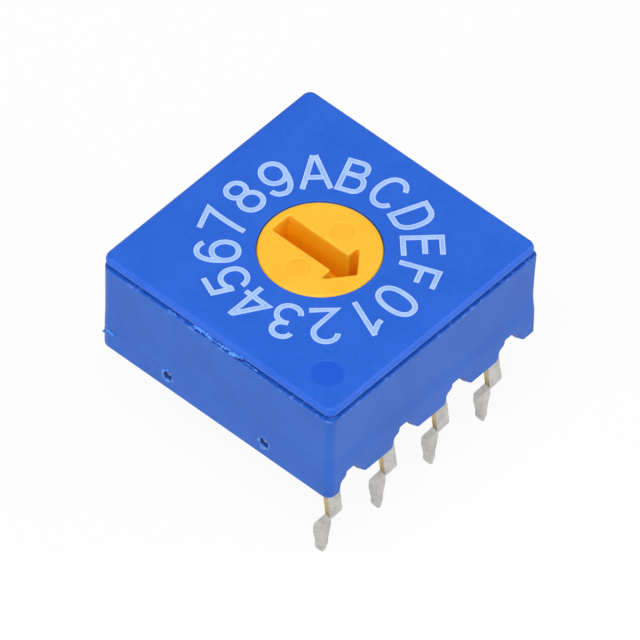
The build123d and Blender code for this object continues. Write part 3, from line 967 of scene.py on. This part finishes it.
@dataclass
class Legend:
    """Sixteen printed characters round the dial, 0 towards -Y and the rest clockwise from it.

    A character is a list of strokes, each a line of points and bows in a box from -1 to 1 both
    ways. A stroke that ends where it starts is a ring.
    """

    top: float = 4.22
    sunk: float = 0.003
    ink: float = 0.02
    rim: float = 0.04
    layer_step: float = 0.003
    lap: float = 0.0007
    stroke: float = 0.185
    width: float = 0.99
    digit: Point = (3.305, 1.54)
    letter: Point = (3.305, 1.45)
    same: float = 1e-3
    characters = {
        "0": [[Bow(0, 0, 1, 1, 0, 360, 2.3)]],
        "1": [[(-0.04, -1.14), (-0.04, 1.14)], [(-1.17, 0.4), (-0.75, 0.55), (-0.04, 1.0)]],
        "2": [[Bow(0, 0.43, 0.98, 0.57, 172, -207, 2.1), (-0.95, -1), (1.2, -1)]],
        "3": [
            [Bow(-0.03, 0.55, 0.82, 0.45, 165, -255, 2.1), (-0.3, 0.1)],
            [(-0.3, 0.1), Bow(-0.02, -0.45, 0.97, 0.55, 90, -258, 2.1)],
        ],
        "4": [[(0.6, -1.14), (0.6, 1.1)], [(0.5, 1), (-1.05, -0.48), (1.3, -0.48)]],
        "5": [
            [(1, 0.96), (-0.72, 0.96), (-0.98, -0.08)],
            [Bow(0, -0.36, 0.98, 0.64, 148, -314, 2.1)],
        ],
        "6": [
            [Bow(0, -0.36, 0.98, 0.64, 0, 360, 2.1)],
            [
                Bow(0.06, 0.42, 0.95, 0.58, 22, 68, 2.1),
                Bow(0.06, -0.1, 1.04, 1.1, 90, 90, 2.15),
                (-0.98, -0.35),
            ],
        ],
        "7": [
            [
                *((-1.25, 0.96), (0.98, 0.96), (0.52, 0.42), (0.16, -0.1)),
                *((-0.14, -0.6), (-0.3, -0.9), (-0.4, -1.14)),
            ]
        ],
        "8": [
            [Bow(0, 0.53, 0.84, 0.45, 0, 360, 2.1)],
            [Bow(0, -0.46, 0.98, 0.54, 0, 360, 2.1)],
        ],
        "9": [
            [Bow(0, 0.36, 0.98, 0.64, 0, 360, 2.1)],
            [
                Bow(-0.06, -0.42, 0.95, 0.58, 202, 68, 2.1),
                Bow(-0.06, 0.1, 1.04, 1.1, 270, 90, 2.15),
                (0.98, 0.35),
            ],
        ],
        "A": [
            [(-1.12, -1.14), (-0.1, 1.14)],
            [(1.16, -1.14), (0.1, 1.14)],
            [(-0.66, -0.36), (0.66, -0.36)],
        ],
        "B": [
            [(-0.9, 0.12), (-0.9, 1), Bow(0.1, 0.56, 0.7, 0.44, 90, -180, 2.2), (-0.9, 0.12)],
            [(-0.9, 0.12), Bow(0.14, -0.45, 0.8, 0.55, 90, -180, 2.2), (-0.9, -1.0), (-0.9, 0.12)],
        ],
        "C": [[Bow(0.06, 0, 1.06, 1.02, 33, 291, 2.15)]],
        "D": [[(-0.9, -1.0), (-0.9, 1), Bow(-0.1, 0, 1.1, 1.0, 90, -180, 2.3), (-0.9, -1.0)]],
        "E": [[(0.97, 1), (-0.9, 1), (-0.9, -1), (0.97, -1)], [(-0.9, 0.1), (0.85, 0.1)]],
        "F": [[(0.92, 1), (-0.87, 1), (-0.87, -1.15)], [(-0.87, 0.1), (0.7, 0.1)]],
    }

    def borders(self, line: list[Vector], inward: float, closed: bool) -> list[tuple[Vector, Vector]]:
        """Widen a line into its two borders, mitred wherever it turns.

        Args:
            line: The stroke's middle line.
            inward: How far the borders stay inside the stroke's own.
            closed: Whether the line is a ring.

        Returns:
            A right and a left point for each point of the line.
        """
        sides = []
        last = len(line) - 1
        if not closed:
            for end, beside in ((0, 1), (last, last - 1)):
                line[end] = line[end] + (line[beside] - line[end]).normalized() * inward
        for i, here in enumerate(line):
            into = (here - line[i - 1 if i else -2]).normalized() if i or closed else None
            out = (line[i % last + 1] - here).normalized() if i < last or closed else into
            across = Bench.mitre(into or out, out) * (self.stroke / 2 - inward)
            sides.append((here + across, here - across))
        return sides

    def bar(self, shape: BMesh, line: list[Vector], inward: float, top: float, at: Matrix) -> None:
        """Add one stroke of ink, a flat bar along a line.

        Args:
            shape: The bmesh that gets the bar.
            line: The stroke's middle line.
            inward: How far the bar stays inside the stroke's border.
            top: The bar's height above the lid.
            at: Where its character goes.
        """
        closed = (line[0] - line[-1]).length < self.same
        sides = self.borders(line, inward, closed)
        rings = []
        for right, left in sides[:-1] if closed else sides:
            corners = ((right, -self.sunk), (left, -self.sunk), (left, top), (right, top))
            rings.append([shape.verts.new(at @ Vector((*spot, self.top + z))) for spot, z in corners])
        if closed:
            rings.append(rings[0])
        else:
            shape.faces.new(rings[0])
            shape.faces.new(rings[-1])
        for one, two in zip(rings, rings[1:]):
            for i in range(4):
                shape.faces.new((one[i - 1], one[i], two[i], two[i - 1]))

    def layer(self, inward: float, top: float) -> Object:
        """Return all the characters as one thin raised layer of bars, which lap where they cross.

        Args:
            inward: How far the layer stays inside the strokes' border.
            top: The layer's height above the lid.
        """
        shape = bmesh.new()
        for i, (name, strokes) in enumerate(self.characters.items()):
            middle, height = self.digit if name.isdigit() else self.letter
            half_x, half_y = (self.width - self.stroke) / 2, (height - self.stroke) / 2
            turn = Matrix.Rotation(math.radians(180 - i * 360 / len(self.characters)), 4, "Z")
            at = turn @ Matrix.Translation((0, middle, 0))
            for k, stroke in enumerate(strokes):
                line: list[Vector] = []
                for stop in stroke:
                    for x, y in stop.points() if isinstance(stop, Bow) else [stop]:
                        spot = Vector((x * half_x, y * half_y))
                        if not line or (spot - line[-1]).length > self.same:
                            line.append(spot)
                self.bar(shape, line, inward, top + k * self.lap, at)
        return Bench.solid("print_layer", shape)

    def build(self, finish: Material) -> None:
        """Build the print: a layer as wide as the strokes, and a thinner one on it inside their rim."""
        layers = {}
        sizes = {"Lower": (0.0, self.ink, 1.0), "Upper": (self.rim, self.ink + self.layer_step, 0.0)}
        tree = GeometryTree("both layers of ink")
        for name, (inward, top, rim) in sizes.items():
            layers[name] = self.layer(inward, top)
            values = layers[name].data.attributes.new("rim", "FLOAT", "FACE").data
            values.foreach_set("value", [rim] * len(values))
        tree.finish(tree.node("GeometryNodeJoinGeometry", {0: [tree.shape(name) for name in sizes]}))
        piece = tree.run(Bench.place("dial_print"), finish, layers)
        for part in layers.values():
            bpy.data.objects.remove(part)
        Bench.smooth(piece)
        Bench.deliver(piece, finish, Body.CASE, Slot.INK, "dial_marks")


# ---------------------------------------------------------------- dial


@dataclass
class Rotor:
    """The yellow dial: a neck with the arrow, a scalloped flange inside and a pivot below."""

    radius: float = 2.055
    edge: float = 0.11
    top: float = 4.22
    flange: Triple = (3.55, 2.2, 3.3)
    spigot: Point = (0.78, 2.04)
    pivot: Point = (0.6, 0.9)
    key: float = 0.2
    detent: Point = (3.7, 0.3)
    positions: int = 16
    arrow_depth: float = 1.5
    arrow_edge: float = 0.06
    arrow_corner: float = 0.09
    arrow_floor: float = 0.12
    tail: float = 1.72
    tip: float = 1.6
    head: float = 0.76
    head_half: float = 0.96
    shaft_half: float = 0.42
    mark: Triple = (1.05, 0.42, 0.02)

    def arrow(self) -> Object:
        """Return the cutter of the arrow, flared at its mouth to round the edge."""
        neck, mouth = self.head - self.tip, self.arrow_edge
        shaft = self.shaft_half
        right = [(0, -self.tip), (self.head_half, neck), (shaft, neck), (shaft, self.tail)]
        outline = Bench.eased(right + [(-x, y) for x, y in reversed(right[1:])], self.arrow_corner)
        levels = []
        for rise, inward in Bench.quarter(4):
            height = self.top - self.arrow_depth + self.arrow_floor * rise
            levels.append((height, -self.arrow_floor * inward))
        levels += [(self.top - mouth * drop, mouth * out) for out, drop in Bench.quarter(5)]
        levels.append((self.top + 0.3, mouth))
        rings = [[(x, y, z) for x, y in Bench.offset(outline, out)] for z, out in levels]
        return Bench.loft("arrow_cutter", rings)

    def scallops(self, finish: Material) -> Object:
        """Return the cutters of the detent notches, set round the flange by a tree."""
        tree = GeometryTree("notches round a flange")
        round_ = {"Vertices": tree.given("Count", "Int"), "Radius": tree.given("Ring radius")}
        ring = tree.node("GeometryNodeMeshCircle", round_)
        post = {"Vertices": 48, "Radius": tree.given("Notch radius"), "Depth": tree.given("Depth")}
        tree.finish(tree.copies(ring, tree.node("GeometryNodeMeshCylinder", post)))
        values = {"Count": self.positions, "Ring radius": self.detent[0], "Notch radius": self.detent[1]}
        row = tree.run(Bench.place("scallops"), finish, {**values, "Depth": 6.0})
        row.data.transform(Matrix.Translation((0, 0, self.flange[1])))
        return row

    def body(self) -> Object:
        """Return the turned solid, from the pivot up to the dial's face."""
        (reach, low, high), (pin, foot), soft = self.flange, self.pivot, 0.03
        profile = [(0, foot), (pin - 0.05, foot), (pin, foot + 0.05), (pin, self.spigot[1])]
        profile += [self.spigot, (self.spigot[0], low), (reach - soft, low), (reach, low + soft)]
        profile += [(reach, high - soft), (reach - soft, high), (self.radius, high)]
        for back, drop in Bench.quarter(8):
            profile.append((self.radius - self.edge * back, self.top - self.edge * drop))
        return Bench.lathe("arrow_dial", [*profile, (0, self.top)], 192)

    def build(self, finish: Material) -> None:
        """Build the finished dial."""
        piece, marks = self.body(), []
        away, reach, sink = self.mark
        dish = [(0, self.top - sink), (reach - 0.03, self.top - sink), (reach, self.top + 0.01)]
        for side in (-1, 1):
            mark = Bench.lathe("mould_mark", [*dish, (0, self.top + 0.01)])
            mark.data.transform(Matrix.Translation((side * away, 0, 0)))
            marks.append(mark)
        wide, low = self.spigot
        flat = Bench.box("key", (-1, wide - self.key, low - 0.5), (1, wide + 0.5, self.flange[1]))
        Bench.cut(piece, *marks)
        Bench.cut(piece, self.arrow(), flat)
        Bench.cut(piece, self.scallops(finish))
        Bench.smooth(piece, 40)
        Bench.deliver(piece, finish, Body.DIAL, Slot.ROTOR, "rotor")


# ---------------------------------------------------------------- leads


@dataclass
class Leads:
    """Five stamped leads: four in front and one behind, each kinked to grip the board."""

    pitch: float = 2.54
    count: int = 4
    rear_x: float = -1.27
    strip: float = 0.25
    bend_radius: float = 0.13
    line: Outline = (
        *((-3.6, 0.625), (-3.92, 0.625), (-4.12, -1.15)),
        *((-4.28, -2.08), (-3.81, -2.98), (-3.81, -4.35)),
    )
    profile: Outline = ((-3.3, 0.58), (-3.85, 0.34), (-4.1, 0.34), (-4.35, 0.1))
    piece: float = 0.09
    round_off: float = 0.035
    coin: Point = (0.15, 0.045)
    coined: Point = (-2.9, 0.25)
    bare_above: float = -2.1
    bent: int = 0
    bend: float = 0.018
    dent: float = 0.02
    plate_reach: float = 3.84

    def route(self) -> list[Vector]:
        """Return the middle line of the strip, with its bends rounded, as (y, z) points."""
        points = [Vector(p) for p in self.line]
        made = [points[0]]
        for before, here, after in zip(points, points[1:], points[2:]):
            back, on = (before - here).normalized(), (after - here).normalized()
            half = math.acos(max(-1.0, min(1.0, back.dot(on)))) / 2
            reach = self.bend_radius / math.tan(half)
            centre = here + (back + on).normalized() * (self.bend_radius / math.sin(half))
            first, last = here + back * reach - centre, here + on * reach - centre
            turn = math.atan2(first.cross(last), first.dot(last))
            steps = max(3, round(abs(math.degrees(turn)) / 12))
            for i in range(steps + 1):
                c, s = math.cos(turn * i / steps), math.sin(turn * i / steps)
                made.append(centre + Vector((first.x * c - first.y * s, first.x * s + first.y * c)))
        made.append(points[-1])
        fine = [made[0]]
        for here in made[1:]:
            start = fine[-1].copy()
            parts = max(1, math.ceil((here - start).length / self.piece))
            fine += [start.lerp(here, (i + 1) / parts) for i in range(parts)]
        return fine

    def half_width(self, height: float) -> float:
        """Return half the blade's width at a height."""
        if height >= self.profile[0][0]:
            return self.profile[0][1] / 2
        for (high, wide), (low, narrow) in zip(self.profile, self.profile[1:]):
            if height >= low:
                return (wide + (narrow - wide) * ((high - height) / (high - low))) / 2
        return self.profile[-1][1] / 2

    def section(self, half: float, blade: float) -> list[Point]:
        """Return the strip's cross-section, (across, outwards), with sheared edges.

        Args:
            half: Half the width.
            blade: 0 on the shank and 1 on the blade, whose front edge at -X is coined flat.

        Returns:
            The outline's points.
        """
        thick, soft = self.strip / 2, min(self.round_off, half / 2)
        wide, deep = min(self.coin[0], half * 0.6), self.coin[1] * blade
        coined, tight = soft + (wide - soft) * blade, soft * 0.3
        right = [(half, thick - soft), (half - tight, thick - tight), (half - soft, thick)]
        return [
            (half, -thick + soft),
            *right,
            *((0.25 * half, thick), (-0.25 * half, thick), (-half + coined, thick)),
            (-half + soft * 0.4, thick - deep - tight),
            (-half, thick - deep - soft),
            *((-x, -y) for x, y in right),
            *((0, -thick), (half - soft, -thick), (half - tight, -thick + tight)),
        ]

    def lead(self) -> Object:
        """Return one lead round its root, with its cut edges marked bare above the kink."""
        route = self.route()
        rings = []
        for i, here in enumerate(route):
            along = (route[min(i + 1, len(route) - 1)] - route[max(i - 1, 0)]).normalized()
            out = Vector((along.y, -along.x))
            blade = max(0.0, min(1.0, (self.coined[0] - here.y) / self.coined[1]))
            section = self.section(self.half_width(here.y), blade)
            rings.append([(x, here.x + out.x * o, here.y + out.y * o) for x, o in section])
        piece = Bench.loft("lead", rings)
        bare = piece.data.attributes.new("bare", "FLOAT", "FACE")
        for face in piece.data.polygons:
            cut = abs(face.normal.x) > 0.9 and face.center.z > self.bare_above
            bare.data[face.index].value = 1.0 if cut else 0.0
        piece.data.transform(Matrix.Translation((0, -self.line[1][0], -self.line[1][1])))
        return piece

    @staticmethod
    def tree() -> GeometryTree:
        """Return the tree that sets the leads in their rows and dents them."""
        tree = GeometryTree("rows of leads")
        lead, row, height = tree.shape("Lead"), tree.given("Row"), tree.given("Height")
        spots = tree.row(Y=row * -1.0, Z=height)
        which = tree.math("COMPARE", tree.node("GeometryNodeInputIndex"), tree.given("Bent lead", "Int"))
        bend = which * tree.given("Bend")
        front = tree.copies(spots, lead, Rotation=tree.xyz(X=bend, Y=bend))
        place = tree.xyz(X=tree.given("Rear x"), Y=row, Z=height)
        spot = tree.node("GeometryNodePoints", {"Count": 1, "Position": place})
        rear = tree.copies(spot, lead, Rotation=(0.0, 0.0, math.pi))
        both = tree.node("GeometryNodeJoinGeometry", {0: [rear, front]})
        whole = tree.node("GeometryNodeRealizeInstances", {"Geometry": both})
        here, normal = tree.node("GeometryNodeInputPosition"), tree.node("GeometryNodeInputNormal")
        shift = tree.scaled(normal, (tree.noise(here, 3.4, 2.0) - 0.5) * tree.given("Dent") * 2.0)
        tree.finish(tree.node("GeometryNodeSetPosition", {"Geometry": whole, "Offset": shift}))
        return tree

    @staticmethod
    def terminals() -> list[str]:
        """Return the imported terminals' names."""
        return [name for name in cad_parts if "terminal" in name]

    def build(self, finish: Material) -> None:
        """Build the leads as one piece."""
        lead, (row, height) = self.lead(), self.line[1]
        values = {"Lead": lead, "Pitch": self.pitch, "Count": self.count, "Row": -row, "Height": height}
        values |= {"Bent lead": self.bent, "Bend": self.bend, "Rear x": self.rear_x, "Dent": self.dent}
        piece = self.tree().run(Bench.place("leads"), finish, values)
        bpy.data.objects.remove(lead)
        Bench.smooth(piece, 38)
        Bench.deliver(piece, finish, Body.CASE, Slot.TIN, *self.terminals())

    def plates(self, finish: Material) -> None:
        """Build the strip's plates in the floor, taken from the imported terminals' copies."""
        shape = bmesh.new()
        for name in self.terminals():
            shape.from_mesh(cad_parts[name].data)
        bmesh.ops.scale(shape, vec=(1 / MM,) * 3, verts=shape.verts)
        bmesh.ops.remove_doubles(shape, verts=shape.verts, dist=1e-4)
        for side in (-1, 1):
            geom = [*shape.verts, *shape.edges, *shape.faces]
            plane = {"plane_co": (0, side * self.plate_reach, 0), "plane_no": (0, side, 0)}
            cut = bmesh.ops.bisect_plane(shape, geom=geom, clear_outer=True, **plane)
            edges = [e for e in cut["geom_cut"] if isinstance(e, bmesh.types.BMEdge)]
            bmesh.ops.holes_fill(shape, edges=edges)
        bmesh.ops.dissolve_limit(shape, angle_limit=0.01, verts=shape.verts, edges=shape.edges)
        piece = Bench.keep("contact_plates", shape)
        modifier = piece.modifiers.new("edges", "BEVEL")
        modifier.width, modifier.segments, modifier.limit_method = 0.02, 2, "ANGLE"
        Bench.apply(piece)
        Bench.smooth(piece)
        Bench.deliver(piece, finish, Body.CASE, Slot.TIN, *self.terminals())


@dataclass
class Inside:
    """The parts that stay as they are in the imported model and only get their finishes."""

    gold: Material
    steel: Material
    rubber: Material

    def dress(self) -> None:
        """Give each kept part its finish."""
        kept = {"code_disc": self.gold, "contact": self.gold, "detent": self.steel, "o_ring": self.rubber}
        for name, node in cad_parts.items():
            for start, finish in kept.items():
                if name.startswith(start):
                    Bench.dress(node, finish)
                    log.info("%s: kept, in %s", name, finish.name)


# ---------------------------------------------------------------- studio


@dataclass
class Studio:
    """The pale floor, the soft lamps, the world and the camera."""

    floor: float = -4.35
    floor_half: float = 3000.0
    azimuth: float = -48.9075
    elevation: float = 48.729
    roll: float = -1.436
    distance: float = 500.4
    aside: Point = (0.064, 0.4955)
    lens: float = 870.0
    ambient: float = 0.21
    lamps: tuple[tuple[Triple, float, float], ...] = (
        ((-160, -90, 330), 0.30, 1.2),
        ((150, -260, 120), 0.26, 0.38),
        ((-280, 60, 90), 0.26, 0.225),
    )

    def ground(self, finish: Material) -> None:
        """Lay the floor."""
        ground, half = Bench.place("floor"), self.floor_half * MM
        corners = [(x * half, y * half, self.floor * MM) for x, y in ((-1, -1), (1, -1), (1, 1), (-1, 1))]
        ground.data.from_pydata(corners, [], [(0, 1, 2, 3)])
        ground.data.materials.append(finish)

    def world(self) -> None:
        """Light the object evenly, and show the camera and reflections a white surround."""
        world = bpy.data.worlds.new("surround")
        bpy.context.scene.world = world
        world.use_nodes = True
        net = Net(world.node_tree)
        strengths = (self.ambient, 1.0)
        white = {"Color": (1, 1, 1, 1)}
        light = [net.node("ShaderNodeBackground", {**white, "Strength": value}) for value in strengths]
        both = net.node("ShaderNodeMixShader", {0: net.shown(), 1: light[0], 2: light[1]})
        net.node("ShaderNodeOutputWorld", {"Surface": both})

    def lights(self) -> None:
        """Hang the soft lamps, each turned to the object."""
        for i, (place, size, power) in enumerate(self.lamps):
            data = bpy.data.lights.new(f"lamp_{i}", "AREA")
            data.shape, data.size, data.energy = "DISK", size, power
            lamp = bpy.data.objects.new(data.name, data)
            lamp.location = Vector(place) * MM
            lamp.rotation_euler = (-Vector(place)).to_track_quat("-Z", "Y").to_euler()
            lamp.visible_camera = False
            bpy.context.scene.collection.objects.link(lamp)

    def camera(self) -> None:
        """Set up the long lens."""
        a, e, r = (math.radians(v) for v in (self.azimuth, self.elevation, self.roll))
        back = Vector((math.sin(a) * math.cos(e), -math.cos(a) * math.cos(e), math.sin(e)))
        right = Vector((math.cos(a), math.sin(a), 0))
        up = back.cross(right)
        right, up = right * math.cos(r) - up * math.sin(r), right * math.sin(r) + up * math.cos(r)
        data = bpy.data.cameras.new("camera")
        data.lens, data.sensor_width, data.clip_start, data.clip_end = self.lens, 36, 0.05, 5
        camera = bpy.data.objects.new("camera", data)
        place = (back * self.distance + right * self.aside[0] + up * self.aside[1]) * MM
        camera.matrix_world = Matrix.Translation(place) @ Matrix((right, up, back)).transposed().to_4x4()
        bpy.context.scene.collection.objects.link(camera)
        bpy.context.scene.camera = camera

    def build(self, finish: Material) -> None:
        """Build the whole studio and set how colours are shown."""
        self.ground(finish)
        self.world()
        self.lights()
        self.camera()
        bpy.context.scene.view_settings.view_transform = "Standard"


# ---------------------------------------------------------------- the switch


def housing_plastic() -> MouldedPlastic:
    """Return the housing's blue, with burrs and painted shade at the tie pockets, a painted shadow line over
    the flash near the back corner and a faint dark line on the -X wall.
    """
    # shade is painted shade in the tie pockets; it also colours two faint lines on the wall.
    burr, shade = (0.18, 0.38, 0.82), (0.010, 0.06, 0.28)
    marks = []
    for x in (-1, 1):
        for y in (-2.16, 2.04):
            marks.append(Mark((x * 5, y, 0.57), (0.2, 0.25, 0.27), burr, 0.6, 0.4))
            # Painted shade: the inside of each tie pocket is coloured a deep dark blue.
            marks.append(Mark((x * 4.84, y, 0.6), (0.145, 0.3, 0.3), shade, 0.9, 0.0))
    # A painted shadow line over the flash near the back corner.
    marks.append(Mark((-5, 4.42, 0.91), (0.2, 0.28, 0.05), shade, 0.4, 0.1))
    marks.append(Mark((-5, 2.68, 0.82), (0.2, 0.42, 0.035), shade, 0.3, 0.1))
    colours = ((0.019, 0.122, 0.545), (0.015, 0.105, 0.49), (0.10, 0.24, 0.72))
    more = {"roughness": 0.42, "grain": 38, "scuffs": 0.10, "nicked": Housing.rim}
    return MouldedPlastic("blue housing plastic", *colours, marks=tuple(marks), **more)


def cover_plastic() -> MouldedPlastic:
    """Return the lid's blue, with the darker round mark of the mould."""
    x, y, reach = Cover.mark
    mark = Mark((x, y, 4.2), (reach, reach, 0.1), (0.004, 0.085, 0.62), 0.75, 0.03)
    colours = ((0.021, 0.129, 0.665), (0.015, 0.113, 0.62), (0.08, 0.22, 0.80))
    return MouldedPlastic("blue cover plastic", *colours, 0.40, 42, 0.08, (mark,))


def dial_plastic() -> MouldedPlastic:
    """Return the dial's yellow, with two round marks on its face and painted shade in the arrow's recess, a
    deeper orange.
    """
    away, reach, _ = Rotor.mark
    dimple = ((reach, reach, 0.1), (0.9, 0.44, 0.02), 0.4, 0.03)
    marks = [Mark((x, 0, 4.2), *dimple) for x in (-away, away)]
    # Painted shade: the arrow's recess is coloured a deeper orange, and darker again further down.
    marks.append(Mark((0, 0, 3.1), (5, 5, 1.03), (0.97, 0.45, 0.005), 0.85, 0.0))
    marks.append(Mark((0, 0, 2.4), (5, 5, 1.15), (0.92, 0.38, 0.0), 0.8, 0.0))
    colours = ((1.0, 0.535, 0.04), (0.96, 0.49, 0.028), (1.0, 0.66, 0.2))
    return MouldedPlastic("yellow dial plastic", *colours, 0.4, 40, 0.06, tuple(marks))


def main() -> None:
    """Build the switch piece by piece, then the studio."""
    logging.basicConfig(level=logging.INFO, format="%(name)s: %(message)s")
    flash_colours = ((0.10, 0.33, 0.88), (0.03, 0.16, 0.62), (0.3, 0.5, 0.95))
    flash = MouldedPlastic("blue flash", *flash_colours, roughness=0.35, grain=60, scuffs=0.4)
    ink = PrintedInk("pale print", (0.38, 0.56, 0.98), (0.28, 0.46, 0.92), (0.50, 0.67, 1.0))
    tin = TinPlate(
        "tin plate",
        colour=(0.58, 0.57, 0.55),
        dull=(0.43, 0.42, 0.40),
        bare=(0.60, 0.46, 0.22),
        dark_edge=(0.10, 0.065, 0.02),
        dark_edge_height=-2.05,
        tie_end_shade=(0.42, 0.40, 0.50),
        tie_reach=4.75,
    )
    gold = DrawnMetal("gold plate", (0.90, 0.68, 0.30), (0.70, 0.48, 0.18), 0.28, (2, 14, 14))
    steel = DrawnMetal("spring strip", (0.60, 0.60, 0.58), (0.42, 0.42, 0.41), 0.3, (14, 1.5, 14))
    rubber = SealRubber("seal rubber", (0.015, 0.015, 0.015), (0.05, 0.05, 0.05))
    white = StudioWhite("pale floor", (0.86, 0.86, 0.86), 0.93)

    Housing().build(housing_plastic().material())
    Cover().build(cover_plastic().material())
    SeamFlash().build(flash.material())
    Legend().build(ink.material())
    Rotor().build(dial_plastic().material())
    leads, plate = Leads(), tin.material()
    leads.build(plate)
    leads.plates(plate)
    Inside(gold.material(), steel.material(), rubber.material()).dress()
    Studio().build(white.material())


if __name__ == "__main__":
    main()
